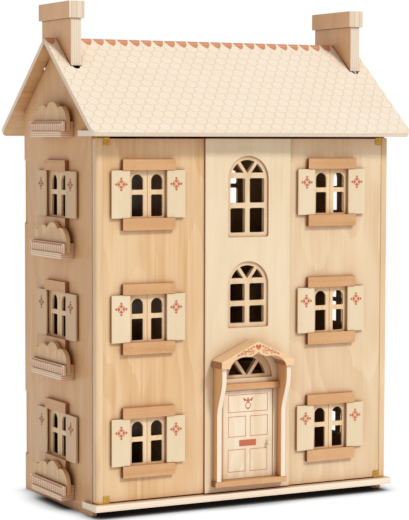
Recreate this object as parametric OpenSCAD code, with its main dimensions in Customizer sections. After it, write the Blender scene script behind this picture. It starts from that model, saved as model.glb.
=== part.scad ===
// Wooden dollhouse, 1:12, three storeys and an attic, closed.
// Millimetres. +Z up. The front looks along -Y. The origin is on the ground,
// midway between the side walls, straight below the ridge.

/* [House] */
// Width over the two side walls
house_w = 602; // [596:1:608]
// Depth of a side wall, front edge to rear edge
house_d = 305; // [300:1:310]
// Thickness of the plywood walls, doors, floors and roof
ply = 9; // [8:0.5:10]
// Height from one floor to the next
storey = 217; // [214:1:220]
// Height of the ground floor's upper face
floor_top = 24.5; // [24:0.5:26]

/* [Roof] */
// Height of the ridge
ridge_z = 846; // [840:1:852]
// Slope of both roof panels
pitch = 38.8; // [38:0.1:40]
// Length of a panel down the slope
roof_len = 271.6; // [268:0.2:274]
// Width of both roof panels
roof_w = 651; // [645:1:652]
// Radius of a panel's lower corners
roof_corner = 11; // [6:1:20]
// Width, depth and top height of a chimney stack
stack_size = [20, 131, 878];
// How far a chimney cap stands out beyond its stack
cap_over = 5; // [3:0.5:6]
// Height of a chimney cap
cap_h = 30; // [24:1:34]

/* [Facade] */
// Height of the lower edge of the two facade doors
door_z0 = 27; // [27:0.5:29]
// Height of the upper edge of the two facade doors
door_z1 = 665; // [660:0.5:665]
// How far the doors' front face stands in front of the side walls
door_front = 15; // [14:0.5:16]
// Width and depth of the corner stile at the hinged edge of each door
stile = [14, 15.4];
// The meeting line of the two doors, left of the middle
seam_x = -87; // [-89:0.5:-86]
// Width and thickness of the centre bay panel
bay = [175, 4];
// Middle of the window column in the left door
left_col_x = -200.4; // [-204:0.2:-196]
// Middle of the window column in the right door
right_col_x = 176; // [174:0.5:182]

/* [Windows] */
// Bottom of the lowest window sill block on the front
row_z = 68; // [66:0.5:70]
// Height from one row of windows to the next
row_pitch = 218.3; // [217:0.1:219]
// Height of the opening between sill block and lintel block
win_h = 84.5; // [82:0.5:86]
// Half width of the opening: front, side
win_half = [37.5, 43];
// Distance of a shutter's pin from the middle of the window: front, side
pin_x = [37.5, 45];
// Reach of a shutter from its pin to its free edge: front, side
shutter_w = [34.4, 44.3];
// Half length of the lintel and sill blocks: front, side
block_half = [51, 46.8];
// Heights of the sill block and the lintel block
block_h = [21, 18.7];
// How far the blocks stand out from the wall
block_out = 8; // [7:0.5:9]
// Thickness of a shutter and of a casement leaf
shutter_t = 3.6; // [3:0.2:4]

/* [Entrance] */
// Width and height of the entrance leaf
leaf = [104, 160];
// Height of the bottom of the entrance opening
entry_z = 48; // [46:0.5:50]
// Depth of the canopy in front of the bay panel
canopy_d = 39.5; // [36:0.5:40]

/* [Balconies] */
// Length, depth and height of a balcony's base block
base_size = [138, 26, 10.5];
// Length, thickness and height of a balcony's rail board
rail_size = [155, 4, 17.5];
// Thickness of the scalloped shrub board
shrub_t = 8.6; // [7:0.2:9]

/* [Hidden] */
ROWS = ["bottom", "middle", "top"];
WALL_FACES = ["left_wall", "right_wall"];
DOOR_FACES = ["left_door", "right_door"];
SIDES = ["left", "right"];
ENDS = ["rear", "front"];
function wall_shutter(f, r, s) = str(f, "_", r, "_", s, "_shutter");

FINE = 48;
eps = 0.01;
gap = 0.6;
wall_x = house_w / 2;
wall_y = house_d / 2;
face_y = -wall_y - door_front;
bay_y = face_y - bay[1];
bay_x = seam_x + bay[0] / 2;
inner_x = wall_x - ply;
side_drop = 3;
side_col_y = -7;
back_t = 6;
back_y = wall_y - ply;
partition_t = 6;
stile_front = face_y - 1;
stile_r = 5;
pivot = [wall_x - 5, face_y + 7.5];
pivot_r = 2;
strip_out = 7;
strip_front = face_y - 14;
plinth_z = [13.5, floor_top];
cornice_z = [669, 679];
plinth_back = -125.5;
cornice_back = -108.5;
ridge_gap = [0.85, 1];
hinge_z = ridge_z - 2;
stack_out = 0.5;
doorway = [80, 150];
drop = ply / cos(pitch);
under_ridge = ridge_z - drop - 0.2;
shutter_out = 2.4;
pin_r = 1;
pin_len = 2.5;
running = 0.08;
leaf_t = 4;
leaf_in = 1.5;
wood_pale = "#e9cda0";
wood_side = "#cf9f70";
wood_orange = "#d9a06a";
wood_cream = "#f3e6c8";
brass = "#c9a24a";

function under(y) = under_ridge - tan(pitch) * abs(y);
function row(i) = row_z + row_pitch * i;
function storey_top(i) = floor_top + storey * i;

// ---- places -------------------------------------------------------------

// On the front of a facade door, outside along -Y, with z = 0 at the sill's bottom
module on_door(x, i) {
    translate([x, face_y, row(i)])
        children();
}

// On a side wall, side -1 is the left wall, with z = 0 at the given height
module on_wall(side, z) {
    translate([side * wall_x, side_col_y, z])
        rotate([0, 0, 90 * side])
            children();
}

// On every window place of both side walls
module on_wall_rows() {
    for (side = [-1, 1], i = [0:2])
        on_wall(side, row(i) - side_drop)
            children();
}

// ---- windows ------------------------------------------------------------

// Lintel and sill block of one window, with the holes for the shutter pins
module window_blocks(k) {
    for (top = [0, 1])
        difference() {
            translate([-block_half[k], -block_out, top * (block_h[0] + win_h)])
                cube([2 * block_half[k], block_out, block_h[top]]);
            for (s = [-1, 1])
                translate([s * pin_x[k], -shutter_out - shutter_t / 2,
                           block_h[0] - pin_len - gap + top * (win_h + pin_len + gap)])
                    translate([0, 0, top == 0 ? 0 : -eps])
                        cylinder(r = pin_r + running, h = pin_len + gap + eps, $fn = FINE);
        }
}

// One shutter, hinged at the origin and reaching along dir, folded open
module shutter(k, dir) {
    lift = 0.5;
    nose = shutter_t / 2;
    color(wood_cream)
        translate([dir * pin_x[k], -shutter_out - nose, block_h[0]]) {
            translate([0, 0, lift])
                linear_extrude(win_h - 2 * lift) {
                    circle(r = nose, $fn = FINE);
                    translate([dir > 0 ? 0 : -shutter_w[k], -nose])
                        square([shutter_w[k], shutter_t]);
                }
            for (z = [-pin_len, win_h - lift - eps])
                translate([0, 0, z])
                    cylinder(r = pin_r, h = pin_len + lift + eps, $fn = FINE);
        }
}

// A pane with a round head, or a square one with rounded corners
module pane(w, h, arched) {
    r = 2.5;
    if (arched) {
        translate([w / 2, h - w / 2])
            circle(d = w, $fn = FINE);
        rounded_pane(w, h - w / 2 + r, r);
    } else
        rounded_pane(w, h, r);
}

module rounded_pane(w, h, r) {
    translate([r, 0])
        square([w - 2 * r, h]);
    translate([0, r])
        square([w, h - 2 * r]);
    for (x = [r, w - r], z = [r, h - r])
        translate([x, z])
            circle(r = r, $fn = FINE);
}

// The two panes of one casement leaf of width w, between its stiles
module leaf_panes(w, side_stile) {
    pane_w = w - 2 * side_stile;
    translate([side_stile, 2.8])
        pane(pane_w, 38.6, false);
    translate([side_stile, 49.7])
        pane(pane_w, 27.2, true);
}

// Two casement leaves set into an opening
module casement_pair(k, side_stile) {
    meeting = 0.45;
    w = win_half[k] - meeting;
    for (s = [0, 1])
        mirror([s, 0, 0])
            translate([meeting, leaf_in + leaf_t, block_h[0]])
                rotate([90, 0, 0])
                    linear_extrude(leaf_t)
                        difference() {
                            square([w, win_h]);
                            leaf_panes(w, side_stile);
                        }
}

// Window hole in a board of the given thickness that starts at y = 0
module window_hole(k, t) {
    translate([-win_half[k], -eps, block_h[0]])
        cube([2 * win_half[k], t + 2 * eps, win_h]);
}

// ---- carcass ------------------------------------------------------------

// Outline of a side wall in its own plane: depth and height
module gable_outline() {
    foot_r = 6;
    difference() {
        polygon([[-wall_y, 0], [wall_y, 0], [wall_y, under(wall_y)],
                 [0, under_ridge], [-wall_y, under(wall_y)]]);
        translate([-wall_y, 0])
            foot_corner(foot_r);
        translate([-wall_y - eps, plinth_z[0]])
            square([plinth_back + wall_y + eps, plinth_z[1] - plinth_z[0]]);
        translate([-wall_y - eps, cornice_z[0]])
            square([cornice_back + wall_y + eps, cornice_z[1] - cornice_z[0]]);
    }
}

// What is cut from a lower front corner to round it
module foot_corner(r) {
    difference() {
        translate([-eps, -eps])
            square(r + eps);
        translate([r, r])
            circle(r = r, $fn = FINE);
    }
}

// Hand grip: a shallow hollow in the outer face at the rear edge, pointed at both ends
module hand_grip(z) {
    r = 20;
    depth = 3.3;
    inset = 7;
    tip = 5;
    length = 114;
    translate([r - depth, wall_y - inset, z]) {
        cylinder(r = r, h = length, $fn = 4 * FINE);
        translate([0, 0, -tip])
            cylinder(r1 = r - depth, r2 = r, h = tip + eps, $fn = 4 * FINE);
        translate([0, 0, length - eps])
            cylinder(r1 = r, r2 = r - depth, h = tip + eps, $fn = 4 * FINE);
    }
}

module side_wall(side) {
    grip_z = [row(0) + 3, row(2) + 3];
    color(wood_side)
        difference() {
            translate([side > 0 ? wall_x - ply : -wall_x, 0, 0])
                rotate([90, 0, 90])
                    linear_extrude(ply)
                        gable_outline();
            for (i = [0:2])
                on_wall(side, row(i) - side_drop)
                    window_hole(1, ply);
            for (z = grip_z)
                mirror([side > 0 ? 0 : 1, 0, 0])
                    translate([wall_x, 0, 0])
                        hand_grip(z);
        }
}

module left_side_wall() { side_wall(-1); }
module right_side_wall() { side_wall(1); }

module back_panel() {
    bottom = floor_top - ply;
    color(wood_pale)
        difference() {
            translate([-inner_x, back_y, bottom])
                cube([2 * inner_x, back_t, under(back_y + back_t) - bottom]);
            for (x = [-1, 1], i = [0:2])
                translate([x * 121, back_y + back_t + eps, row(i) + block_h[0]])
                    rotate([90, 0, 0])
                        linear_extrude(back_t + 2 * eps)
                            for (s = [0, 1])
                                mirror([s, 0])
                                    leaf_panes(win_half[0], 7.4);
        }
}

module floor_board(top, front) {
    color(wood_pale)
        translate([-inner_x, front, top - ply])
            cube([2 * inner_x, back_y - front, ply]);
}

module ground_floor() { floor_board(floor_top, plinth_back); }
module attic_floor() { floor_board(cornice_z[1], cornice_back); }
module upper_floors() {
    for (i = [1, 2])
        floor_board(storey_top(i), -wall_y + 1);
}

// A strip that shows below or above the doors and runs through both side walls
module strip(z, back) {
    r = 5;
    w = house_w + 2 * strip_out;
    difference() {
        translate([-w / 2, strip_front, z[0]])
            cube([w, back - strip_front, z[1] - z[0]]);
        for (s = [0, 1])
            mirror([s, 0, 0])
                translate([-w / 2, strip_front, z[0] - 1])
                    linear_extrude(z[1] - z[0] + 2)
                        foot_corner(r);
    }
}

module pivot_holes(z) {
    for (s = [-1, 1])
        translate([s * pivot[0], pivot[1], z])
            cylinder(r = pivot_r + running, h = 7, $fn = FINE);
}

module plinth_strip() {
    color(wood_pale)
        difference() {
            strip(plinth_z, plinth_back);
            pivot_holes(plinth_z[1] - 7 + eps);
        }
}

module cornice_strip() {
    color(wood_pale)
        difference() {
            strip(cornice_z, cornice_back);
            pivot_holes(cornice_z[0] - eps);
        }
}

// A partition with one doorway in it, for storey i
module partition(x, i) {
    front = -wall_y + 2;
    door_y = -107;
    h = (i == 2 ? cornice_z[1] - ply : storey_top(i + 1) - ply) - storey_top(i);
    color(wood_pale)
        translate([x - partition_t / 2, 0, storey_top(i)])
            difference() {
                translate([0, front, 0])
                    cube([partition_t, back_y - front, h]);
                translate([-1, door_y, -1])
                    cube([partition_t + 2, doorway[0], doorway[1] + 1]);
                translate([-1, front - 1, cornice_z[0] - storey_top(i)])
                    cube([partition_t + 2, cornice_back - front + 1, cornice_z[1] - cornice_z[0]]);
            }
}

module partitions() {
    for (i = [0, 1], x = [-92, 92])
        partition(x, i);
    partition(-92, 2);
}

// ---- roof ---------------------------------------------------------------

// Outline of a roof panel in its own plane: along the ridge, and down the slope
module roof_outline() {
    notch_side = 1;
    tip_r = 7;
    notch_w = stack_size[0] + 2 * notch_side;
    notch_x = wall_x + stack_out + notch_side - notch_w;
    notch_end = stack_size[1] / 2 / cos(pitch) + 1;
    above = 20;
    difference() {
        translate([-roof_w / 2, -above])
            square([roof_w, roof_len + above]);
        for (s = [0, 1])
            mirror([s, 0]) {
                translate([-roof_w / 2, roof_len])
                    mirror([0, 1])
                        foot_corner(roof_corner);
                translate([notch_x, -above - 1])
                    square([notch_w, above + 1 + notch_end]);
                translate([notch_x + notch_w / 2, notch_end])
                    circle(r = tip_r, $fn = FINE);
            }
    }
}

// The panel at the rear; clear is its distance from the ridge line
module roof_panel(clear) {
    intersection() {
        translate([0, 0, ridge_z])
            rotate([-pitch, 0, 0])
                translate([0, 0, -ply])
                    linear_extrude(ply)
                        roof_outline();
        translate([-roof_w, clear, 0])
            cube([2 * roof_w, roof_len, ridge_z]);
    }
}

// Room for the hinge knuckles in the mating edges of both panels
module knuckle_grooves() {
    for (x = HINGES)
        translate([x - hinge_l / 2 - 1, 0, hinge_z])
            rotate([0, 90, 0])
                cylinder(r = knuckle_r + 0.3, h = hinge_l + 2, $fn = FINE);
}

HINGES = [-180, 0, 180];
hinge_l = 40;
knuckle_r = 1.2;
hinge_pin_r = 0.6;

module roof_rear_panel() {
    color(wood_pale)
        difference() {
            roof_panel(ridge_gap[1]);
            knuckle_grooves();
        }
}

module roof_front_panel() {
    color(wood_cream)
        difference() {
            mirror([0, 1, 0])
                roof_panel(ridge_gap[0]);
            knuckle_grooves();
        }
}

// Knuckle of the given length that starts at x
module knuckle(x, l) {
    translate([x, 0, hinge_z])
        rotate([0, 90, 0])
            difference() {
                cylinder(r = knuckle_r, h = l, $fn = FINE);
                translate([0, 0, -1])
                    cylinder(r = hinge_pin_r + running, h = l + 2, $fn = FINE);
            }
}

module roof_hinge_fixed_leaves() {
    end_l = 12;
    leaf_y = 0.3;
    color(brass)
        for (x = HINGES) {
            translate([x - hinge_l / 2, leaf_y, hinge_z - 9]) {
                cube([hinge_l, ridge_gap[1] - leaf_y, 7]);
                for (e = [0, hinge_l - end_l])
                    translate([e, 0, 0])
                        cube([end_l, ridge_gap[1] - leaf_y, 8.2]);
            }
            for (e = [0, hinge_l - end_l])
                knuckle(x - hinge_l / 2 + e, end_l);
            translate([x - hinge_l / 2, 0, hinge_z])
                rotate([0, 90, 0])
                    cylinder(r = hinge_pin_r, h = hinge_l, $fn = FINE);
            for (e = [0, hinge_l - 2])
                translate([x - hinge_l / 2 + e, 0, hinge_z])
                    rotate([0, 90, 0])
                        cylinder(r = knuckle_r - 0.2, h = 2, $fn = FINE);
        }
}

module roof_hinge_moving_leaves() {
    mid_l = 15.4;
    leaf_y = 0.15;
    color(brass)
        for (x = HINGES) {
            translate([x - mid_l / 2, -ridge_gap[0], hinge_z - 9])
                cube([mid_l, ridge_gap[0] - leaf_y, 8.2]);
            translate([x - hinge_l / 2, -ridge_gap[0], hinge_z - 9])
                cube([hinge_l, ridge_gap[0] - leaf_y, 7]);
            knuckle(x - mid_l / 2, mid_l);
        }
}

// Each stack stands on the top edge of a side wall on a foot that is shorter than the
// stack, and clears the roof panels in front of and behind that foot
module chimney_stacks() {
    half = stack_size[1] / 2;
    foot = half - 30;
    seat = 0.05;
    clear = 0.4;
    function over(y) = ridge_z - tan(pitch) * y + clear;
    color(wood_pale)
        for (s = [0, 1])
            mirror([s, 0, 0])
                translate([wall_x + stack_out - stack_size[0], 0, 0])
                    rotate([90, 0, 90])
                        linear_extrude(stack_size[0])
                            polygon([[-half, over(half)], [-foot, over(foot)],
                                     [-foot, under(foot) + seat], [0, under_ridge + seat],
                                     [foot, under(foot) + seat], [foot, over(foot)],
                                     [half, over(half)], [half, stack_size[2]],
                                     [-half, stack_size[2]]]);
}

module chimney_caps() {
    w = stack_size[0] + 2 * cap_over;
    d = stack_size[1] + 2 * cap_over - 2;
    color(wood_pale)
        for (s = [-1, 1])
            translate([s * (wall_x + stack_out - stack_size[0] / 2) - w / 2, -d / 2, stack_size[2]])
                cube([w, d, cap_h]);
}

// ---- side walls' fittings -----------------------------------------------

module wall_window_blocks() {
    color(wood_orange)
        on_wall_rows()
            window_blocks(1);
}

module wall_casements() {
    color(wood_cream)
        on_wall_rows()
            casement_pair(1, 9);
}

// Bottom of the balcony at storey i
function balcony_z(i) = 17 + storey * i - (i == 3 ? 1 : 0);

module on_balconies() {
    for (side = [-1, 1], i = [0:3])
        on_wall(side, balcony_z(i))
            children();
}

module balcony_bases() {
    block = [12, 9, rail_size[2]];
    color(wood_pale)
        on_balconies() {
            translate([-base_size[0] / 2, -base_size[1], 0])
                cube(base_size);
            for (x = [-base_size[0] / 2, base_size[0] / 2 - block[0]])
                translate([x, -block[1], base_size[2] - eps])
                    cube([block[0], block[1], block[2] + eps]);
        }
}

module balcony_rails() {
    set_back = 2;
    color(wood_cream)
        on_balconies()
            translate([-rail_size[0] / 2, set_back - base_size[1], base_size[2]])
                cube(rail_size);
}

// Scalloped outline of a clipped shrub: lobes of [x, height, radius]
LOBES = [[-62, 25.5, 24], [-31.5, 22.2, 35.8], [10.7, 32.6, 31.4], [47.6, 28.6, 26.4]];
module shrub_outline() {
    half = 74;
    for (lobe = LOBES)
        translate([lobe[0], lobe[1]])
            circle(r = lobe[2], $fn = 2 * FINE);
    translate([-half, base_size[2]])
        square([2 * half, LOBES[3][1] - base_size[2]]);
    translate([LOBES[0][0], base_size[2]])
        square([LOBES[3][0] - LOBES[0][0], 46 - base_size[2]]);
}

module balcony_shrubs() {
    half = 74;
    color(wood_pale)
        on_balconies()
            translate([0, -9, 0])
                rotate([90, 0, 0])
                    linear_extrude(shrub_t)
                        intersection() {
                            shrub_outline();
                            translate([-half, base_size[2]])
                                square([2 * half, 60]);
                        }
}

// ---- facade doors -------------------------------------------------------

// Corner stile, side -1 on the left: rounded at its two outer corners
module corner_stile(side) {
    r_rear = 3;
    w = stile[0];
    d = stile[1];
    color(wood_pale)
        translate([side * wall_x, stile_front, door_z0])
            mirror([side > 0 ? 1 : 0, 0, 0])
                linear_extrude(door_z1 - door_z0)
                    difference() {
                        square([w, d]);
                        foot_corner(stile_r);
                        translate([0, d])
                            mirror([0, 1])
                                foot_corner(r_rear);
                    }
}

module left_corner_stile() { corner_stile(-1); }
module right_corner_stile() { corner_stile(1); }

// Brass pivot plates at both ends of one door's hinged edge, each with its pin
module door_pivots(side) {
    t = 1.8;
    tab = [12.4, 1, 11.5];
    strap_d = 12;
    corner = -wall_x + 1;
    color(brass)
        mirror([side > 0 ? 1 : 0, 0, 0])
            for (top = [0, 1])
                translate([corner, stile_front, top == 1 ? door_z1 : door_z0])
                    mirror([0, 0, 1 - top]) {
                        strap_l = top == 1 ? 26.5 : 25.5;
                        linear_extrude(t)
                            difference() {
                                square([strap_l, strap_d]);
                                foot_corner(stile_r);
                            }
                        translate([strap_l - tab[0], 0, -tab[2]])
                            cube([tab[0], tab[1], tab[2] + t]);
                        translate([-corner - pivot[0], pivot[1] - stile_front, t - eps])
                            cylinder(r = pivot_r, h = 6 + eps, $fn = FINE);
                    }
}

module left_door_pivots() { door_pivots(-1); }
module right_door_pivots() { door_pivots(1); }

module door_board(x0, x1) {
    translate([x0, face_y, door_z0])
        cube([x1 - x0, ply, door_z1 - door_z0]);
}

module door_window_holes(x) {
    for (i = [0:2])
        on_door(x, i)
            window_hole(0, ply);
}

module left_facade_panel() {
    color(wood_pale)
        difference() {
            door_board(-wall_x + stile[0], seam_x - 0.7);
            door_window_holes(left_col_x);
        }
}

// Arched windows of the bay: bottom and height of each
ARCHES = [[323.8, 120.1], [487.7, 146.7]];
arch_r = 42.1;
fan_light_z = 231.3;
fan_light_r = 50.7;

// Three fan panes above a chord at height base of a circle of radius r
module fan_panes(r, base) {
    spoke = 6;
    lean = 36;
    difference() {
        circle(r = r, $fn = 2 * FINE);
        translate([-r, -r])
            square([2 * r, r + base]);
        for (s = [-1, 1])
            translate([0, base - 6])
                rotate(s * lean)
                    translate([-spoke / 2, 0])
                        square([spoke, 2 * r]);
    }
}

// All panes of one arched window of height h
module arch_panes(h) {
    margin = 8;
    rail = 9.2;
    mullion = 4.7;
    pane_w = 30.3;
    centre = h - arch_r;
    pane_h = (centre + 1.7 - margin - rail) / 2;
    for (s = [0, 1], z = [margin, margin + pane_h + rail])
        mirror([s, 0])
            translate([mullion, z])
                rounded_pane(pane_w, pane_h, 3.2);
    translate([0, centre])
        fan_panes(arch_r - 7.4, 11.5);
}

// The arch-shaped hole in the bay panel round one arched window
module arch_hole(h) {
    translate([0, h - arch_r])
        circle(r = arch_r, $fn = 2 * FINE);
    rounded_pane_centred(2 * arch_r, h - arch_r + 4, 4);
}

module rounded_pane_centred(w, h, r) {
    translate([-w / 2, 0])
        rounded_pane(w, h, r);
}

// Cuts a plane outline through the front, from y0 back over the depth d
module cut_front(x, z, y0, d) {
    translate([x, y0 + d + eps, z])
        rotate([90, 0, 0])
            linear_extrude(d + 2 * eps)
                children();
}

module entry_hole() {
    side_gap = 1;
    translate([bay_x - leaf[0] / 2 - side_gap, bay_y - 1, entry_z])
        cube([leaf[0] + 2 * side_gap, bay[1] + ply + 2, leaf[1] + 2 * leaf_clear]);
}

leaf_clear = 0.7;
entry_t = 9;
entry_axis = [bay_x - leaf[0] / 2 + entry_t / 2, face_y + 1.6];

// Holes above and below the entrance opening for the leaf's pins
module entry_pin_holes() {
    for (z = [entry_z - 5, entry_z + leaf[1] + 2 * leaf_clear - eps])
        translate([entry_axis[0], entry_axis[1], z])
            cylinder(r = pin_r + 0.2 + running, h = 5 + eps, $fn = FINE);
}

module right_facade_panel() {
    color(wood_pale)
        difference() {
            door_board(seam_x, wall_x - stile[0]);
            door_window_holes(right_col_x);
            for (a = ARCHES)
                cut_front(bay_x, a[0], face_y, ply)
                    arch_panes(a[1]);
            cut_front(bay_x, fan_light_z, face_y, ply)
                fan_panes(38.6, 6.2);
            entry_hole();
            entry_pin_holes();
        }
}

module centre_bay_panel() {
    color(wood_pale)
        difference() {
            translate([seam_x, bay_y, door_z0])
                cube([bay[0], bay[1], door_z1 - door_z0]);
            for (a = ARCHES)
                cut_front(bay_x, a[0], bay_y, bay[1])
                    arch_hole(a[1]);
            cut_front(bay_x, fan_light_z, bay_y, bay[1])
                intersection() {
                    circle(r = fan_light_r, $fn = 2 * FINE);
                    translate([-fan_light_r, 0])
                        square([2 * fan_light_r, fan_light_r]);
                }
            entry_hole();
        }
}

module door_fittings(x) {
    for (i = [0:2])
        on_door(x, i)
            children();
}

module left_door_window_blocks() {
    color(wood_orange)
        door_fittings(left_col_x)
            window_blocks(0);
}

module right_door_window_blocks() {
    color(wood_orange)
        door_fittings(right_col_x)
            window_blocks(0);
}

module left_door_casements() {
    color(wood_cream)
        door_fittings(left_col_x)
            casement_pair(0, 7.2);
}

module right_door_casements() {
    color(wood_cream)
        door_fittings(right_col_x)
            casement_pair(0, 7.2);
}

// ---- entrance -----------------------------------------------------------

// Height of the canopy's wavy lower edge at distance x from its middle
function canopy_edge(x) =
    x < 18 ? 274.3 + 8.7 * pow(1 - x / 18, 1.6) :
    x < 34 ? 274.3 + 0.8 * sin(180 * (x - 18) / 16) :
    canopy_z + 19.3 * pow(max(0, 1 - pow((x - 34) / 23.5, 1.7)), 0.6);

canopy_z = 255;

module porch_canopy() {
    half = 75;
    eave = 267.5;
    peak = 302;
    inner_half = 57.5;
    inner = [for (x = [-inner_half:1.25:inner_half]) [x, canopy_edge(abs(x))]];
    color(wood_orange)
        translate([bay_x, bay_y, 0])
            rotate([90, 0, 0])
                linear_extrude(canopy_d)
                    polygon(concat([[-half, canopy_z]], inner,
                                   [[half, canopy_z], [half, eave], [0, peak], [-half, eave]]));
}

// Depth of a porch bracket at height z: shallow below, deep under the canopy
bracket_low = [15, 165];
bracket_high = [34, 236];
function bracket_depth(z) =
    bracket_low[0] + (bracket_high[0] - bracket_low[0])
        * (1 - cos(180 * (z - bracket_low[1]) / (bracket_high[1] - bracket_low[1]))) / 2;

module porch_brackets() {
    inner = 61.8;
    steps = 14;
    rise = (bracket_high[1] - bracket_low[1]) / steps;
    curve = [for (i = [0:steps]) let (z = bracket_low[1] + i * rise) [-bracket_depth(z), z]];
    color(wood_pale)
        for (s = [0, 1])
            translate([bay_x, bay_y, 0])
                mirror([s, 0, 0])
                    translate([inner, 0, 0])
                        rotate([90, 0, 90])
                            linear_extrude(ply)
                                polygon(concat([[0, entry_z], [-bracket_low[0], entry_z]], curve,
                                               [[-bracket_high[0], canopy_z], [0, canopy_z]]));
}

module entrance_blocks() {
    threshold = [148, 15.5, 10];
    lintel = [123, 8, 11.5];
    color(wood_orange)
        translate([bay_x, bay_y, 0]) {
            translate([-threshold[0] / 2, -threshold[1], entry_z - threshold[2]])
                cube(threshold);
            translate([-lintel[0] / 2, -lintel[1], entry_z + leaf[1] + 3.5])
                cube(lintel);
        }
}

module entrance_leaf() {
    r = entry_t / 2;
    knob_x = leaf[0] - r - 10.5;
    color(wood_cream)
        translate([entry_axis[0], entry_axis[1], entry_z])
            difference() {
                union() {
                    translate([0, 0, leaf_clear])
                        linear_extrude(leaf[1]) {
                            circle(r = r, $fn = FINE);
                            translate([0, -r])
                                square([leaf[0] - r, entry_t]);
                        }
                    for (z = [-4, leaf[1] + leaf_clear - eps])
                        translate([0, 0, z])
                            cylinder(r = pin_r + 0.2, h = 4 + leaf_clear + eps, $fn = FINE);
                }
                translate([knob_x, -r - eps, KNOB_Z])
                    rotate([-90, 0, 0])
                        cylinder(r = 1.5, h = 5, $fn = FINE);
            }
}

KNOB_Z = 63;

// Turned knob with its spigot in the leaf
module entrance_knob() {
    r = entry_t / 2;
    color(wood_cream)
        translate([entry_axis[0] + leaf[0] - r - 10.5, entry_axis[1] - r, entry_z + KNOB_Z])
            rotate([90, 0, 0])
                rotate_extrude($fn = FINE)
                    polygon(concat([[0, -4.5], [1.5, -4.5], [1.5, 0], [2.4, 0], [2, 2.5]],
                                   [for (a = [-50:10:90]) [3.9 * cos(a), 5.6 + 3.9 * sin(a)]]));
}

left_side_wall();
right_side_wall();
back_panel();
ground_floor();
upper_floors();
attic_floor();
plinth_strip();
cornice_strip();
partitions();
roof_rear_panel();
chimney_stacks();
chimney_caps();
wall_window_blocks();
wall_casements();
balcony_bases();
balcony_rails();
balcony_shrubs();
roof_hinge_fixed_leaves();
roof_front_panel();
roof_hinge_moving_leaves();
left_facade_panel();
left_corner_stile();
left_door_pivots();
left_door_window_blocks();
left_door_casements();
right_facade_panel();
right_corner_stile();
right_door_pivots();
centre_bay_panel();
right_door_window_blocks();
right_door_casements();
porch_canopy();
porch_brackets();
entrance_blocks();
entrance_leaf();
entrance_knob();
for (f = [0, 1], i = [0:2], s = [0, 1])
    on_door([left_col_x, right_col_x][f], i)
            shutter(0, 2 * s - 1);
for (f = [0, 1], i = [0:2], s = [0, 1])
    on_wall(2 * f - 1, row(i) - side_drop)
            shutter(1, (f == 0 ? 1 : -1) * (2 * s - 1));
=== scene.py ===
import math

import bmesh
import bpy
from mathutils import Matrix, Quaternion, Vector


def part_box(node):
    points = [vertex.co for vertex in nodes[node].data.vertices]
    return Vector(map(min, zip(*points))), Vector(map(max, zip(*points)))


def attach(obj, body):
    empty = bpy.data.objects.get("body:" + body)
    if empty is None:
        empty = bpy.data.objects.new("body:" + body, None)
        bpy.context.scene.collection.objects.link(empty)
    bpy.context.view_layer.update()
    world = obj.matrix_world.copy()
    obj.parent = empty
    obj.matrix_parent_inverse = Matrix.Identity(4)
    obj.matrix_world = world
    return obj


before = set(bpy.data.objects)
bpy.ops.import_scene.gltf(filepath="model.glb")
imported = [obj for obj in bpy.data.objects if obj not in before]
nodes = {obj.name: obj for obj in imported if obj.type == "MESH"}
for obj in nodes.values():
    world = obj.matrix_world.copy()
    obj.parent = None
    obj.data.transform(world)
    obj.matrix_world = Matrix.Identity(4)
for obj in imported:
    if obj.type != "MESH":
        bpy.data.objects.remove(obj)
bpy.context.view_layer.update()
MM = 0.001


def lin(r, g, b):
    """Linear colour of an sRGB colour given as 0 to 255."""
    out = []
    for v in (r, g, b):
        v /= 255
        out.append(v / 12.92 if v <= 0.04045 else ((v + 0.055) / 1.055) ** 2.4)
    return (*out, 1.0)


# ---------------------------------------------------------------- materials

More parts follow.
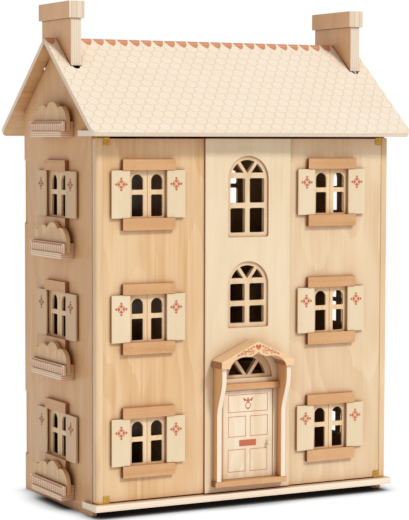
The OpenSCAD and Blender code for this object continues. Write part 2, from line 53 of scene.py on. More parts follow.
class Tree:
    """A material's node tree, with short calls that each give an output socket."""

    def __init__(self, name):
        self.mat = bpy.data.materials.new(name)
        self.mat.use_nodes = True
        self.t = self.mat.node_tree
        self.t.nodes.clear()
        out = self.t.nodes.new("ShaderNodeOutputMaterial")
        self.bsdf = self.t.nodes.new("ShaderNodeBsdfPrincipled")
        self.t.links.new(self.bsdf.outputs[0], out.inputs[0])
        self.coord = self.t.nodes.new("ShaderNodeTexCoord")
        self.P = self.vmath("SCALE", self.coord.outputs["Object"], scale=1000.0)
        self.N = self.coord.outputs["Normal"]

    def put(self, socket, value):
        if isinstance(value, bpy.types.NodeSocket):
            self.t.links.new(value, socket)
        else:
            socket.default_value = value

    def vmath(self, op, a, b=None, scale=None):
        n = self.t.nodes.new("ShaderNodeVectorMath")
        n.operation = op
        self.put(n.inputs[0], a)
        if b is not None:
            self.put(n.inputs[1], b)
        if scale is not None:
            n.inputs["Scale"].default_value = scale
        return n.outputs["Value" if op in ("DOT_PRODUCT", "LENGTH") else "Vector"]

    def math(self, op, a, b=None, c=None, clamp=False):
        n = self.t.nodes.new("ShaderNodeMath")
        n.operation = op
        n.use_clamp = clamp
        for i, v in enumerate((a, b, c)):
            if v is not None:
                self.put(n.inputs[i], v)
        return n.outputs[0]

    def step(self, value, lo, hi):
        """0 below lo, 1 above hi, smooth between; falls instead of rising when lo is above hi."""
        n = self.t.nodes.new("ShaderNodeMapRange")
        n.interpolation_type = "SMOOTHSTEP"
        self.put(n.inputs[0], value)
        n.inputs[1].default_value = min(lo, hi)
        n.inputs[2].default_value = max(lo, hi)
        n.inputs[3].default_value = 0.0 if lo < hi else 1.0
        n.inputs[4].default_value = 1.0 if lo < hi else 0.0
        return n.outputs[0]

    def split(self, vector):
        n = self.t.nodes.new("ShaderNodeSeparateXYZ")
        self.put(n.inputs[0], vector)
        return n.outputs

    def noise(self, stretch, detail=2.0, rough=0.5, distortion=0.0, seed=0.0):
        n = self.t.nodes.new("ShaderNodeTexNoise")
        v = self.vmath("MULTIPLY", self.P, stretch)
        v = self.vmath("ADD", v, (seed, seed * 1.7, seed * 0.6))
        self.put(n.inputs["Vector"], v)
        n.inputs["Scale"].default_value = 1.0
        n.inputs["Detail"].default_value = detail
        n.inputs["Roughness"].default_value = rough
        n.inputs["Distortion"].default_value = distortion
        return n.outputs[0]

    def mix(self, fac, a, b, blend="MIX"):
        n = self.t.nodes.new("ShaderNodeMix")
        n.data_type = "RGBA"
        n.blend_type = blend
        self.put(n.inputs[0], fac)
        self.put(n.inputs[6], a)
        self.put(n.inputs[7], b)
        return n.outputs[2]

    def tone(self, colour, value):
        """Colour times a grey value."""
        n = self.t.nodes.new("ShaderNodeCombineXYZ")
        for i in range(3):
            self.put(n.inputs[i], value)
        return self.mix(1.0, colour, n.outputs[0], "MULTIPLY")

    def bump(self, height, strength, distance):
        n = self.t.nodes.new("ShaderNodeBump")
        n.inputs["Strength"].default_value = strength
        n.inputs["Distance"].default_value = distance
        self.put(n.inputs["Height"], height)
        return n.outputs[0]

    def painted_crevice_shade(self, distance, low):
        """Painted shade: 1 in the open, down to low where surfaces meet."""
        n = self.t.nodes.new("ShaderNodeAmbientOcclusion")
        n.samples = 6
        n.inputs["Distance"].default_value = distance
        return self.math("MULTIPLY_ADD", self.step(n.outputs["AO"], 0.25, 0.95), 1 - low, low)

    def worn_edge(self, radius):
        """Towards 1 on sharp edges."""
        b = self.t.nodes.new("ShaderNodeBevel")
        b.samples = 4
        b.inputs["Radius"].default_value = radius
        g = self.t.nodes.new("ShaderNodeNewGeometry")
        return self.step(self.vmath("DOT_PRODUCT", b.outputs[0], g.outputs["Normal"]), 0.995, 0.85)


AXES = {"X": 0, "Y": 1, "Z": 2}


def stretched(k, along, grain):
    v = [k, k, k]
    v[AXES[grain]] = along
    return tuple(v)


def wood_nodes(t, base, dark, pale, grain, figure=0.5, streak=0.5, seed=0.0):
    """Colour and bump height of lacquered wood with its grain along one axis."""
    fibre = t.noise(stretched(1.1, 0.03, grain), 3.0, 0.6, seed=seed)
    lines = t.noise(stretched(0.12, 0.0028, grain), 3.0, 0.55, 0.2, seed + 3.1)
    broad = t.noise(stretched(0.0095, 0.0032, grain), 1.0, 0.4, 0.0, seed + 7.7)
    blotch = t.noise(stretched(0.018, 0.004, grain), 2.0, 0.5, 0.3, seed + 1.9)
    rise = t.math("MULTIPLY_ADD", t.math("SUBTRACT", lines, 0.5), 0.35, t.math("MULTIPLY", broad, 7.0))
    ring = t.math("FRACT", rise)
    # each growth layer starts with a crisp border and fades across its width
    flame = t.math("MULTIPLY", t.step(ring, 0.0, 0.035), t.step(ring, 1.0, 0.12))
    colour = t.mix(t.math("MULTIPLY", flame, figure), base, dark)
    colour = t.mix(t.math("MULTIPLY", t.step(lines, 0.4, 0.72), streak), colour, dark)
    colour = t.mix(t.math("MULTIPLY", t.step(blotch, 0.42, 0.68), 0.5), colour, pale)
    colour = t.tone(colour, t.math("MULTIPLY_ADD", fibre, 0.08, 0.96))
    height = t.math("MULTIPLY_ADD", lines, 0.6, t.math("MULTIPLY", fibre, 0.5))
    return colour, height, fibre


def ply_edges(t, colour, axis, offset, thickness, layers, light, deep, seed=0.0):
    """Layers on the edges of a board: axis is its normal, offset and thickness are in mm."""
    along = t.vmath("DOT_PRODUCT", t.P, axis)
    depth = t.math("DIVIDE", t.math("SUBTRACT", along, offset), thickness)
    wobble = t.noise((0.05, 0.05, 0.05), 1.0, seed=seed + 5.0)
    depth = t.math("MULTIPLY_ADD", t.math("SUBTRACT", wobble, 0.5), 0.05, depth)
    saw = t.math("PINGPONG", t.math("MULTIPLY", depth, float(layers)), 1.0)
    grains = t.noise((1.1, 1.1, 1.1), 2.0, 0.7, seed=seed + 2.0)
    layer = t.mix(t.step(saw, 0.32, 0.68), light, deep)
    layer = t.tone(layer, t.math("MULTIPLY_ADD", grains, 0.34, 0.83))
    glue = t.step(t.math("ABSOLUTE", t.math("SUBTRACT", saw, 0.5)), 0.1, 0.02)
    layer = t.mix(t.math("MULTIPLY", glue, 0.35), layer, lin(140, 92, 58))
    facing = t.math("ABSOLUTE", t.vmath("DOT_PRODUCT", t.N, axis))
    return t.mix(t.step(facing, 0.82, 0.6), colour, layer)


def shaded(t, colour, distance, tint, amount=1.0):
    """Colour multiplied by a tint where surfaces closer than distance (m) shut out the light."""
    return t.mix(amount, colour, t.mix(t.painted_crevice_shade(distance, 0.0), (*tint, 1), (1, 1, 1, 1)), "MULTIPLY")


def finish_wood(t, colour, height, fibre, rough=0.44, painted_crevice_shade=0.8, bump=0.14, edge=None, room=False, shade=1.0,
                reach=0.034):
    """Edges, shades and lacquer of a wood. A room's shade is deep, shade and reach (m) are those of wide corners."""
    if edge is not None:
        colour = t.mix(t.math("MULTIPLY", t.worn_edge(0.0009), 0.35), colour, edge)
    # painted shade in narrow creases where surfaces meet
    colour = shaded(t, colour, 0.0035, (painted_crevice_shade, painted_crevice_shade * 0.9, painted_crevice_shade * 0.8))
    # warm shade in wide corners, such as under the eaves and beside the window blocks
    colour = shaded(t, colour, reach, (0.66, 0.46, 0.34), shade)
    # painted deep shade inside the rooms
    if room:
        colour = shaded(t, colour, 0.16, (0.16, 0.1, 0.07))
    t.put(t.bsdf.inputs["Base Color"], colour)
    t.put(t.bsdf.inputs["Roughness"], t.math("MULTIPLY_ADD", fibre, 0.16, rough - 0.06))
    t.bsdf.inputs["Specular IOR Level"].default_value = 0.1 if room else 0.38
    t.bsdf.inputs["Coat Weight"].default_value = 0.0 if room else 0.12
    t.bsdf.inputs["Coat Roughness"].default_value = 0.32
    t.put(t.bsdf.inputs["Normal"], t.bump(height, bump, 0.0004))
    return t.mat


# palettes: base, dark and pale wood
HONEY = (lin(224, 190, 146), lin(204, 160, 108), lin(232, 206, 168))
WHEAT = (lin(226, 201, 166), lin(208, 172, 128), lin(234, 214, 184))
# the side walls' wood: darker and more orange than the façade's, partly as painted shade
TAN = (lin(216, 172, 124), lin(196, 148, 100), lin(222, 182, 138))
SCALE = (lin(244, 234, 217), lin(238, 224, 198), lin(247, 239, 226))
UNDERSIDE = (lin(214, 172, 122), lin(186, 138, 90), lin(222, 184, 136))
CREAM = (lin(224, 205, 172), lin(216, 194, 156), lin(230, 214, 186))
BEECH = (lin(210, 164, 115), lin(192, 142, 94), lin(216, 174, 128))
MAPLE = (lin(237, 203, 159), lin(214, 174, 126), lin(238, 210, 172))
PALE = (lin(246, 230, 208), lin(234, 210, 178), lin(250, 238, 222))
LEAF = (lin(236, 221, 195), lin(222, 198, 162), lin(244, 232, 212))
CHIMNEY = (lin(228, 184, 142), lin(212, 164, 122), lin(234, 194, 154))
BAY = (lin(228, 209, 177), lin(214, 188, 148), lin(234, 218, 190))
STILE = (lin(224, 195, 156), lin(204, 164, 116), HONEY[2])
BALCONY = (lin(232, 200, 160), TAN[1], HONEY[2])
RAIL = (lin(240, 212, 178), lin(224, 190, 150), lin(244, 220, 190))
SHRUB = (lin(228, 192, 146), TAN[1], TAN[2])
# painted shade: the side walls' shutters are a darker copy of the front shutters' cream
WALL_SHUTTER = (lin(212, 180, 142), lin(198, 160, 118), lin(218, 188, 152))
CASEMENT = (lin(236, 208, 168), lin(208, 166, 118), HONEY[2])
BRACKET = (lin(226, 176, 122), lin(204, 152, 98), lin(232, 188, 138))

# layers of plywood: light and deep
PLY = (lin(238, 216, 186), lin(218, 184, 144))
WHITE_PLY = (lin(250, 237, 220), lin(242, 224, 202))
STACK_PLY = (lin(232, 222, 207), lin(218, 202, 178))
CAP_PLY = (lin(226, 211, 191), lin(220, 202, 178))
BALCONY_PLY = (lin(244, 224, 198), lin(206, 168, 130))
BRACKET_PLY = (lin(250, 238, 220), lin(236, 212, 184))
ROOF_PLY = (lin(244, 230, 210), lin(228, 206, 178))


def board(name, palette, grain, ply=None, figure=0.5, streak=0.5, seed=0.0, rough=0.44, edges=PLY,
          ends=None, **more):
    """A plywood or solid board. ply is (axis, offset mm, thickness mm, layers), edges the colours of its layers,
    ends an axis and the colour of the faces that look along it."""
    t = Tree(name)
    colour, height, fibre = wood_nodes(t, *palette, grain, figure, streak, seed)
    if ply:
        colour = ply_edges(t, colour, *ply, *edges, seed)
    if ends:
        # end faces: darker end grain, deepened further as painted shade
        facing = t.math("ABSOLUTE", t.vmath("DOT_PRODUCT", t.N, ends[0]))
        colour = t.mix(t.math("MULTIPLY", t.step(facing, 0.6, 0.85), 0.85), colour, ends[1])
    return finish_wood(t, colour, height, fibre, rough, edge=lin(247, 230, 204), **more)


def beech(name, grain, seed=0.0):
    """Beech with its short dark flecks along the grain."""
    t = Tree(name)
    colour, height, fibre = wood_nodes(t, *BEECH, grain, 0.28, 0.55, seed)
    fleck = t.noise(stretched(1.5, 0.34, grain), 1.0, 0.4, 0.0, seed + 11.0)
    sparse = t.noise((0.05, 0.05, 0.05), 1.0, seed=seed + 4.0)
    spots = t.math("MULTIPLY", t.step(fleck, 0.57, 0.66), t.step(sparse, 0.38, 0.6))
    colour = t.mix(t.math("MULTIPLY", spots, 0.75), colour, lin(186, 124, 78))
    # end faces: darker end grain, deepened further as painted shade
    ends = t.math("ABSOLUTE", t.split(t.N)[AXES[grain]])
    colour = t.mix(t.math("MULTIPLY", t.step(ends, 0.6, 0.8), 0.9), colour, lin(142, 90, 54))
    return finish_wood(t, colour, height, fibre, 0.46, edge=lin(236, 196, 150))


def roof_board(name, side, ridge_z=846.0, pitch=38.8, thick=9.0):
    """A roof panel: printed scales and a terracotta ridge row on top, plain plywood below. side is +1 at the rear."""
    t = Tree(name)
    s, c = math.sin(math.radians(pitch)), math.cos(math.radians(pitch))
    axis = (0.0, side * s, c)
    colour, height, fibre = wood_nodes(t, *SCALE, "X", 0.06, 0.1, 2.0 + side)
    under, _, _ = wood_nodes(t, *UNDERSIDE, "X", 0.4, 0.5, 5.0)
    x, _, z = t.split(t.P)[:3]
    v = t.math("DIVIDE", t.math("SUBTRACT", ridge_z, z), s)
    speckle = t.noise((0.7, 0.7, 0.7), 2.0, seed=3.0)
    # scales, in mm: the height of a row and where rows begin, the width of a scale and one scale's middle
    row_h, row_start, scale_w, scale_x = 17.75, 0.45, 22.5, 260.4
    row = t.math("MULTIPLY_ADD", v, 1 / row_h, 40.0 - row_start / row_h)
    index = t.math("FLOOR", row)
    shift = t.math("MULTIPLY", t.math("MODULO", index, 2.0), 0.5)
    cell = t.math("ADD", t.math("MULTIPLY_ADD", x, 1 / scale_w, 60.0 + scale_x / scale_w), shift)
    aside = t.math("MULTIPLY", t.math("ABSOLUTE", t.math("SUBTRACT", t.math("FRACT", cell), 0.5)), 2.0)
    down = t.math("SUBTRACT", row, index)
    e = t.math("ADD", t.math("POWER", aside, 2.6), t.math("POWER", down, 2.5))
    d = t.math("SUBTRACT", t.math("POWER", e, 0.4), 1.0)  # 0 on a scale's outline, above 0 outside it
    outside = t.step(d, -0.001, 0.001)
    line = t.step(t.math("ABSOLUTE", d), 0.062, 0.02)
    depth = t.step(t.math("ABSOLUTE", t.math("SUBTRACT", down, 0.26)), 0.2, 0.05)
    notch = t.math("MULTIPLY", t.step(aside, 0.86, 0.97), depth)
    scale_id = t.math("ADD", t.math("FLOOR", t.math("ADD", cell, t.math("MULTIPLY", outside, 0.5))),
                      t.math("MULTIPLY", t.math("ADD", index, outside), 17.3))
    shade = t.math("FRACT", t.math("MULTIPLY", t.math("SINE", t.math("MULTIPLY", scale_id, 12.99)), 437.5))
    scales = t.mix(t.math("MULTIPLY", shade, 0.3), colour, lin(242, 230, 206))
    near = t.math("MULTIPLY", t.step(d, -0.14, 0.02), t.step(d, 0.001, -0.001))
    scales = t.mix(t.math("MULTIPLY", near, 0.18), scales, lin(232, 208, 172))
    below = t.step(v, 18.6, 20.2)
    ink = t.math("MULTIPLY", t.math("MULTIPLY", line, below), t.math("MULTIPLY_ADD", speckle, 0.45, 0.3))
    scales = t.mix(ink, scales, lin(204, 174, 136))
    scales = t.mix(t.math("MULTIPLY", t.math("MULTIPLY", notch, below), 0.3), scales, lin(206, 176, 140))
    # pointed ridge tiles, in mm: width with the gap, one tile's middle, length
    tile_w, tile_x, tile_l = 24.15, 243.75, 21.3
    tile_cell = t.math("FRACT", t.math("MULTIPLY_ADD", x, 1 / tile_w, 60.5 + tile_x / tile_w))
    tile_aside = t.math("MULTIPLY", t.math("ABSOLUTE", t.math("SUBTRACT", tile_cell, 0.5)), 2.0 / 0.9)
    tile_down = t.math("MAXIMUM", t.math("MULTIPLY", v, 1 / tile_l), 0.0)
    outline = t.math("ADD", t.math("POWER", tile_down, 1.7), t.math("POWER", tile_aside, 1.4))
    tile = t.step(outline, 1.05, 0.95)
    halo = t.math("MULTIPLY", t.step(outline, 1.28, 1.05), t.step(outline, 0.95, 1.05))
    band = t.step(t.math("ABSOLUTE", t.math("SUBTRACT", v, 8.2)), 1.5, 0.5)
    glaze = t.mix(t.step(v, 8.0, 9.6), lin(209, 148, 118), lin(207, 145, 104))
    glaze = t.mix(t.math("MULTIPLY", band, 0.7), glaze, lin(236, 176, 132))
    glaze = t.tone(glaze, t.math("MULTIPLY_ADD", speckle, 0.16, 0.92))
    scales = t.mix(t.math("MULTIPLY", halo, 0.4), scales, lin(246, 222, 190))
    scales = t.mix(tile, scales, glaze)
    top = t.step(t.vmath("DOT_PRODUCT", t.N, axis), 0.8, 0.9)
    colour = t.mix(top, under, scales)
    offset = ridge_z * c - thick
    colour = ply_edges(t, colour, axis, offset, thick, 5, *ROOF_PLY, 1.0)
    height = t.math("SUBTRACT", height, t.math("MULTIPLY", t.math("MULTIPLY", ink, top), 0.6))
    return finish_wood(t, colour, height, fibre, 0.42, bump=0.25)


def brass(name):
    t = Tree(name)
    scratch = t.noise((0.4, 5.0, 5.0), 2.0, 0.6)
    spots = t.noise((0.25, 0.25, 0.25), 3.0, 0.6, seed=4.0)
    colour = t.mix(t.step(spots, 0.35, 0.7), lin(214, 172, 84), lin(176, 128, 58))
    # painted shade where surfaces meet darkens the brass
    colour = t.tone(colour, t.painted_crevice_shade(0.002, 0.6))
    t.put(t.bsdf.inputs["Base Color"], colour)
    t.bsdf.inputs["Metallic"].default_value = 1.0
    t.put(t.bsdf.inputs["Roughness"], t.math("MULTIPLY_ADD", scratch, 0.25, 0.26))
    t.put(t.bsdf.inputs["Normal"], t.bump(scratch, 0.2, 0.0001))
    return t.mat


def ink_print(name, colour, dark):
    """Scorched print: uneven tone with the wood's fibres showing through."""
    t = Tree(name)
    patch = t.noise((0.5, 0.5, 0.5), 3.0, 0.6)
    fibre = t.noise((2.4, 2.4, 0.12), 2.0, 0.6, seed=2.0)
    tint = t.mix(t.step(patch, 0.35, 0.7), colour, dark)
    tint = t.tone(tint, t.math("MULTIPLY_ADD", fibre, 0.3, 0.85))
    t.put(t.bsdf.inputs["Base Color"], tint)
    t.put(t.bsdf.inputs["Roughness"], t.math("MULTIPLY_ADD", patch, 0.2, 0.5))
    t.put(t.bsdf.inputs["Normal"], t.bump(fibre, 0.2, 0.0002))
    return t.mat


X, Y, Z = (1.0, 0.0, 0.0), (0.0, 1.0, 0.0), (0.0, 0.0, 1.0)
M = {
    "left_side_wall": board("left_wall_plywood", TAN, "Z", (X, -301.0, 9.0, 5), 0.35, 0.45, 1.0, shade=0.6),
    "right_side_wall": board("right_wall_plywood", TAN, "Z", (X, 292.0, 9.0, 5), 0.35, 0.45, 9.0, shade=0.6),
    "back_panel": board("back_plywood", HONEY, "Z", (Y, 143.5, 6.0, 3), 0.5, 0.4, 4.0, room=True),
    "left_facade_panel": board("left_facade_plywood", HONEY, "Z", (Y, -167.5, 9.0, 5), 0.42, 0.62, 12.0, reach=0.045),
    "right_facade_panel": board("right_facade_plywood", WHEAT, "Z", (Y, -167.5, 9.0, 5), 0.42, 0.4, 21.0,
                                reach=0.045),
    "centre_bay_panel": board("centre_bay_plywood", BAY, "Z", (Y, -171.5, 4.0, 3), 0.15, 0.25, 33.0, reach=0.03,
                              shade=0.85),
    "corner_stile": board("corner_stile_pine", STILE, "Z", None, 0.3, 0.8, 41.0, reach=0.055),
    "plinth_strip": board("plinth_plywood", PALE, "X", (Z, 13.5, 11.0, 5), 0.1, 0.2, 5.0, edges=WHITE_PLY),
    "cornice_strip": board("cornice_plywood", PALE, "X", (Z, 669.0, 10.0, 5), 0.1, 0.2, 6.0, edges=WHITE_PLY),
    "floors": board("floor_plywood", HONEY, "X", None, 0.5, 0.5, 15.0, room=True),
    "partitions": board("partition_plywood", HONEY, "Z", None, 0.4, 0.4, 17.0, room=True),
    "chimney_stacks": board("chimney_stack_plywood", CHIMNEY, "Z", (X, -301.5, 20.0, 9), 0.25, 0.3, 51.0,
                            edges=STACK_PLY),
    "chimney_caps": board("chimney_cap_wood", CHIMNEY, "Z", (X, -306.5, 30.0, 3), 0.2, 0.3, 53.0, edges=CAP_PLY),
    "balcony_bases": board("balcony_base_plywood", BALCONY, "Y", (Z, 17.0, 9.0, 5), 0.3, 0.4, 61.0,
                           edges=BALCONY_PLY),
    "balcony_rails": board("balcony_rail_plywood", RAIL, "Y", (X, -325.0, 4.0, 3), 0.1, 0.2, 63.0,
                           edges=BALCONY_PLY),
    "balcony_shrubs": board("balcony_shrub_plywood", SHRUB, "Z", None, 0.4, 0.5, 65.0),
    "shutter": board("shutter_plywood", CREAM, "Z", None, 0.12, 0.22, 71.0, 0.5),
    "wall_shutter": board("wall_shutter_plywood", WALL_SHUTTER, "Z", None, 0.12, 0.22, 73.0, 0.5),
    "casement": board("casement_plywood", CASEMENT, "Z", None, 0.2, 0.4, 75.0),
    "leaf": board("entrance_leaf_plywood", LEAF, "Z", None, 0.5, 0.75, 81.0, shade=0.3),
    "bracket": board("porch_bracket_plywood", BRACKET, "Z", (X, 61.8, 9.0, 7), 0.3, 0.4, 85.0, edges=BRACKET_PLY,
                     shade=0.6),
    "knob": board("knob_wood", LEAF, "Y", None, 0.4, 0.5, 87.0, 0.36, shade=0.1),
    "blocks": beech("facade_block_beech", "X", 1.0),
    "wall_blocks": beech("wall_block_beech", "Y", 2.0),
    # its end faces: dark end grain, deepened further as painted shade
    "canopy": board("canopy_maple", MAPLE, "X", None, 0.2, 0.35, 3.0, ends=(X, lin(146, 82, 42)), shade=0.3),
    "roof_front": roof_board("roof_front_print", -1),
    "roof_rear": roof_board("roof_rear_print", 1),
    "brass": brass("brushed_brass"),
    "ink": ink_print("terracotta_print", lin(198, 110, 76), lin(180, 92, 60)),
    "wall_ink": ink_print("shaded_print", lin(158, 88, 60), lin(140, 74, 50)),
    "rail_ink": ink_print("rail_print_ink", lin(176, 92, 60), lin(150, 72, 46)),
}


def node_material(n):
    """The material of a node, found by a word in its name or by the whole name."""
    if "shutter" in n:
        return M["wall_shutter" if "wall" in n else "shutter"]
    for key, mat in (("casements", "casement"), ("corner_stile", "corner_stile"), ("pivots", "brass"),
                     ("hinge", "brass"), ("wall_window_blocks", "wall_blocks"), ("blocks", "blocks"),
                     ("porch_canopy", "canopy"), ("porch_brackets", "bracket"), ("entrance_leaf", "leaf"),
                     ("entrance_knob", "knob"), ("roof_front", "roof_front"), ("roof_rear", "roof_rear"),
                     ("floor", "floors")):
        if key in n:
            return M[mat]
    return M[n]


# width of the eased edges, by the first of these words that a node's name holds
EDGE_MM = {"roof_hinge": 0.1, "roof_front": 0.8, "roof": 1.2, "side_wall": 0.9, "facade": 0.6, "bay": 0.6, "cap": 0.8,
           "stack": 0.8, "shutter": 0.55, "casement": 0.5, "blocks": 0.8, "canopy": 1.0, "bracket": 0.9, "leaf": 0.6,
           "knob": 0.2, "pivots": 0.25, "strip": 1.0, "shrub": 0.9, "rail": 0.5, "base": 0.8}


def dress(n, o):
    """The node's material, and its edges eased by modifiers."""
    o.data.materials.clear()
    o.data.materials.append(node_material(n))
    width = next((w for k, w in EDGE_MM.items() if k in n), 0.5)
    o.data.polygons.foreach_set("use_smooth", [True] * len(o.data.polygons))
    if "custom_normal" in o.data.attributes:
        o.data.attributes.remove(o.data.attributes["custom_normal"])
    weld = o.modifiers.new("weld", "WELD")
    weld.merge_threshold = 0.00001
    if n != "roof_front_panel":  # its ridge face keeps its triangles, so that the hinge grooves stay open
        flat = o.modifiers.new("flat", "DECIMATE")
        flat.decimate_type = "DISSOLVE"
        flat.angle_limit = math.radians(0.6)
    bevel = o.modifiers.new("eased_edges", "BEVEL")
    bevel.width = width * MM
    bevel.segments = 2
    bevel.limit_method = "ANGLE"
    bevel.angle_limit = math.radians(32)
    bevel.harden_normals = True


for name, o in nodes.items():
    dress(name, o)

# ------------------------------------------------------------------- prints

def frame_at(origin, u, v):
    """Matrix that puts print coordinates (mm: across, up, out) into the row frame."""
    u, v = Vector(u).normalized(), Vector(v).normalized()
    w = u.cross(v)
    m = Matrix((u, v, w)).transposed().to_4x4()
    m.translation = Vector(origin) * MM
    return m @ Matrix.Scale(MM, 4)


class Print:
    """Flat print made of filled outlines and lines, in mm. It is a raised skin of 0.06 mm."""

    def __init__(self):
        self.bm = bmesh.new()

    def fill(self, points):
        self.bm.faces.new([self.bm.verts.new((x, y, 0.0)) for x, y in points])

    def line(self, points, width, closed=False):
        pts = [Vector(p) for p in points]
        n = len(pts)
        left, right = [], []
        for i, p in enumerate(pts):
            a = pts[i - 1] if (i > 0 or closed) else p
            b = pts[(i + 1) % n] if (i < n - 1 or closed) else p
            d1 = (p - a).normalized() if (p - a).length > 1e-6 else (b - p).normalized()
            d2 = (b - p).normalized() if (b - p).length > 1e-6 else d1
            mid = (d1 + d2).normalized()
            normal = Vector((-mid.y, mid.x))
            k = width / 2 / max(0.35, mid.dot(d1))
            left.append(self.bm.verts.new((*(p + normal * k), 0.0)))
            right.append(self.bm.verts.new((*(p - normal * k), 0.0)))
        for i in range(n if closed else n - 1):
            j = (i + 1) % n
            self.bm.faces.new([left[i], right[i], right[j], left[j]])

    def disc(self, x, y, r, k=16):
        self.fill([(x + r * math.cos(a * 2 * math.pi / k), y + r * math.sin(a * 2 * math.pi / k)) for a in range(k)])

    def mesh(self, name):
        bmesh.ops.triangulate(self.bm, faces=self.bm.faces[:])
        made = bmesh.ops.extrude_face_region(self.bm, geom=self.bm.faces[:])
        for v in made["geom"]:
            if isinstance(v, bmesh.types.BMVert):
                v.co.z = 0.06
        bmesh.ops.recalc_face_normals(self.bm, faces=self.bm.faces[:])
        me = bpy.data.meshes.new(name)
        self.bm.to_mesh(me)
        self.bm.free()
        return me


def place(name, mesh, mat, matrix, body):
    o = bpy.data.objects.new(name, mesh)
    bpy.context.scene.collection.objects.link(o)
    if not mesh.materials:
        mesh.materials.append(mat)
    o.matrix_world = matrix
    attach(o, body)
    return o


def turned(points, quarter):
    c, s = [(1, 0), (0, 1), (-1, 0), (0, -1)][quarter]
    return [(x * c - y * s, x * s + y * c) for x, y in points]


def arc(cx, cy, r, a0, a1, k=14):
    return [(cx + r * math.cos(math.radians(a0 + (a1 - a0) * i / k)),
             cy + r * math.sin(math.radians(a0 + (a1 - a0) * i / k))) for i in range(k + 1)]


# the folk cross on each shutter: four arms of a lozenge and a barbed leaf, its middle this far (m) below the top
CROSS_DROP = 0.0272
cross = Print()
for q in range(4):
    cross.fill(turned([(0, 12.4), (-2.9, 9.7), (0, 6.9), (2.9, 9.7)], q))
    cross.fill(turned([(0, 1.3), (3.4, 4.5), (5.2, 6.5), (3.2, 6.1), (1.5, 7.4), (0, 6.2),
                       (-1.5, 7.4), (-3.2, 6.1), (-5.2, 6.5), (-3.4, 4.5)], q))
cross_mesh = cross.mesh("shutter_cross")
wall_cross_mesh = cross_mesh.copy()
wall_cross_mesh.name = "wall_shutter_cross"
for n in [k for k in nodes if "shutter" in k]:
    lo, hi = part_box(n)
    wall = "wall" in n
    z = (hi.z - CROSS_DROP) / MM
    if wall:
        left = lo.x < 0
        x = (lo.x if left else hi.x) / MM
        m = frame_at((x, (lo.y + hi.y) / 2 / MM, z), (0, -1, 0) if left else (0, 1, 0), Z)
    else:
        m = frame_at(((lo.x + hi.x) / 2 / MM, lo.y / MM, z), X, Z)
    place(n + "_cross", wall_cross_mesh if wall else cross_mesh, M["wall_ink" if wall else "ink"], m, n)

# entrance leaf: panel outlines, letter slot and a plain ring knocker
door = Print()
for x0, x1, z0, z1 in ((-39, 42.6, 170, 201.3), (-38.6, -2.9, 125.2, 161.8), (6.6, 42.8, 125.2, 161.4),
                       (-39.0, -3.6, 61.2, 101.5), (6.3, 41.8, 60.8, 100.8)):
    door.line([(x0, z0), (x1, z0), (x1, z1), (x0, z1)], 1.1, True)
door.fill([(-16.3, 107.0), (18.8, 107.0), (18.8, 118.6), (-16.3, 118.6)])
door.line(arc(1.9, 181.2, 5.2, 0, 337.5, 15), 1.6, True)
door.fill([(1.9, 186.2), (5.6, 189.4), (1.9, 196.6), (-1.8, 189.4)])
door.disc(1.9, 175.2, 1.7)
for s in (-1, 1):
    door.fill([(1.9 + s * 2.6, 190.6), (1.9 + s * 7.6, 188.6), (1.9 + s * 11.4, 195.6), (1.9 + s * 5.4, 193.6)])
leaf_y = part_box("entrance_leaf")[0].y / MM
place("entrance_leaf_print", door.mesh("entrance_leaf_print"), M["ink"], frame_at((0, leaf_y, 0), X, Z),
      "entrance_door")

# canopy: a small heart between two mirrored sprays of curls and leaves
spray = Print()
cx = 0.5  # the porch's middle
heart = [(0, 286.6), (3.2, 289.2), (5.4, 291.8), (6.0, 294.2), (4.8, 296.2), (2.4, 296.6), (0, 294.6)]
spray.fill([(cx + x, z) for x, z in heart] + [(cx - x, z) for x, z in reversed(heart[1:-1])])
for s in (-1, 1):
    def at(points, s=s):
        return [(cx + s * x, z) for x, z in points]
    spray.line(at([(7, 286.0), (11, 284.0), (16, 284.6), (21, 286.4), (25, 285.2), (29, 281.4), (34, 279.4),
                   (39, 278.8), (43.5, 276.4)]), 1.3)
    spray.line(at(arc(11.4, 289.6, 2.9, -110, 150)), 1.2)
    spray.line(at(arc(17.6, 281.6, 2.6, 60, 330)), 1.2)
    spray.line(at(arc(22.8, 283.2, 2.3, -60, 200)), 1.2)
    spray.line(at(arc(31.6, 283.0, 1.9, -90, 190)), 1.1)
    for x, z, a in ((9.0, 293.2, 60), (15.8, 289.2, 30), (20.4, 288.6, 45), (28.2, 285.6, 40), (35.4, 281.6, 35),
                    (40.6, 279.6, 20), (10.6, 281.4, -50), (26.6, 279.6, -30)):
        cos_a, sin_a = math.cos(math.radians(a)), math.sin(math.radians(a))
        leaf = [(-2.5, 0), (0, 1.25), (2.7, 0), (0, -1.25)]
        spray.fill(at([(x + px * cos_a - pz * sin_a, z + px * sin_a + pz * cos_a) for px, pz in leaf]))
canopy_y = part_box("porch_canopy")[0].y / MM
place("porch_canopy_print", spray.mesh("porch_canopy_print"), M["ink"], frame_at((0, canopy_y, 0), X, Z),
      "right_door")

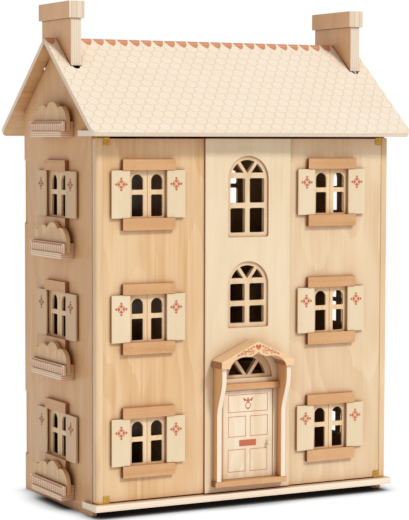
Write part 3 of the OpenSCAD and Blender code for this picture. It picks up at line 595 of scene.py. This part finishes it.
# balcony rails: crossing arches over balusters
rail = Print()
pitch, first = 8.55, -73.0
for k in range(18):
    x = first + pitch * k
    for e in (-1.5, 1.5):
        rail.line([(x + e, 0.6), (x + e, 10.4)], 1.25)
    if k < 17:
        rail.line(arc(x + pitch / 2, 11.0, pitch / 2, 180, 0, 8), 1.15)
    if k < 16:
        half = [(x + pitch - pitch * math.cos(math.radians(a)), 10.8 + 5.2 * math.sin(math.radians(a)))
                for a in range(0, 181, 15)]
        rail.line(half, 1.1)
    rail.fill([(x - 1.1, 11.6), (x + 1.1, 11.6), (x, 13.6)])
rail_mesh = rail.mesh("balcony_rail_print")
RAIL_X, RAIL_Y, RAIL_UP = 325.0, -7.0, 10.5
for side, word in ((-1, "left"), (1, "right")):
    for i, base_z in enumerate((17.0, 234.0, 451.0, 667.0)):
        m = frame_at((side * RAIL_X, RAIL_Y, base_z + RAIL_UP), (0, -1, 0) if side < 0 else (0, 1, 0), Z)
        place(f"{word}_balcony_{i}_rail_print", rail_mesh, M["rail_ink"], m, "house")

# -------------------------------------------------------------------- stage

floor_me = bpy.data.meshes.new("floor")
half = 30.0
floor_me.from_pydata([(-half, -half, 0), (half, -half, 0), (half, half, 0), (-half, half, 0)], [], [(0, 1, 2, 3)])
floor = bpy.data.objects.new("studio_floor", floor_me)
bpy.context.scene.collection.objects.link(floor)
ft = Tree("floor_white")
grey = ft.noise((0.002, 0.002, 0.002), 2.0)
ft.put(ft.bsdf.inputs["Base Color"], (0.02, 0.02, 0.02, 1))
ft.bsdf.inputs["Roughness"].default_value = 0.95
ft.bsdf.inputs["Specular IOR Level"].default_value = 0.0
# white paper, with a painted shadow that darkens it close to the house
floor_painted_shadow_ao = ft.t.nodes.new("ShaderNodeAmbientOcclusion")
floor_painted_shadow_ao.samples = 24
floor_painted_shadow_ao.inputs["Distance"].default_value = 0.05
clear_of_painted_shadow = ft.step(ft.math("MULTIPLY_ADD", grey, 0.02, floor_painted_shadow_ao.outputs["AO"]), 0.12, 1.0)
ft.put(ft.bsdf.inputs["Emission Color"], ft.mix(clear_of_painted_shadow, lin(12, 9, 8), (1.0, 1.0, 1.0, 1)))
ft.bsdf.inputs["Emission Strength"].default_value = 1.0
floor_me.materials.append(ft.mat)

world = bpy.data.worlds.new("studio")
bpy.context.scene.world = world
world.use_nodes = True
wt = world.node_tree
wt.nodes.clear()
wo = wt.nodes.new("ShaderNodeOutputWorld")
mixer = wt.nodes.new("ShaderNodeMixShader")
fill = wt.nodes.new("ShaderNodeBackground")
seen = wt.nodes.new("ShaderNodeBackground")
path = wt.nodes.new("ShaderNodeLightPath")
fill.inputs[0].default_value = (1.0, 0.885, 0.8, 1)  # light of the room, the camera sees plain white
fill.inputs[1].default_value = 0.47
seen.inputs[0].default_value = (1, 1, 1, 1)
seen.inputs[1].default_value = 1.0
wt.links.new(path.outputs["Is Camera Ray"], mixer.inputs[0])
wt.links.new(fill.outputs[0], mixer.inputs[1])
wt.links.new(seen.outputs[0], mixer.inputs[2])
wt.links.new(mixer.outputs[0], wo.inputs[0])


def sun(name, azimuth, elevation, strength, angle, colour=(1, 1, 1)):
    """Azimuth is measured from the facade's normal, positive to the right of it."""
    light = bpy.data.lights.new(name, "SUN")
    light.energy, light.angle, light.color = strength, math.radians(angle), colour
    o = bpy.data.objects.new(name, light)
    a, e = math.radians(azimuth), math.radians(elevation)
    towards = Vector((math.sin(a) * math.cos(e), -math.cos(a) * math.cos(e), math.sin(e)))
    o.rotation_mode = "QUATERNION"
    o.rotation_quaternion = towards.to_track_quat("Z", "Y")
    bpy.context.scene.collection.objects.link(o)


sun("key", 22, 42, 1.85, 12, (1.0, 0.985, 0.96))

cam_data = bpy.data.cameras.new("camera")
cam_data.lens, cam_data.sensor_width = 130.32, 36.0  # fitted to the picture, as are the angles and the place below
cam = bpy.data.objects.new("camera", cam_data)
bpy.context.scene.collection.objects.link(cam)
azimuth, elevation, roll = math.radians(27.843), math.radians(3.83), 0.0026
forward = Vector((math.sin(azimuth) * math.cos(elevation), math.cos(azimuth) * math.cos(elevation),
                  -math.sin(elevation)))
cam.rotation_mode = "QUATERNION"
cam.rotation_quaternion = forward.to_track_quat("-Z", "Y") @ Quaternion((0, 0, 1), roll)
cam.location = Vector((-1656.07, -3138.25, 673.34)) * MM
bpy.context.scene.camera = cam
bpy.context.scene.view_settings.view_transform = "Standard"
bpy.context.scene.view_settings.look = "None"
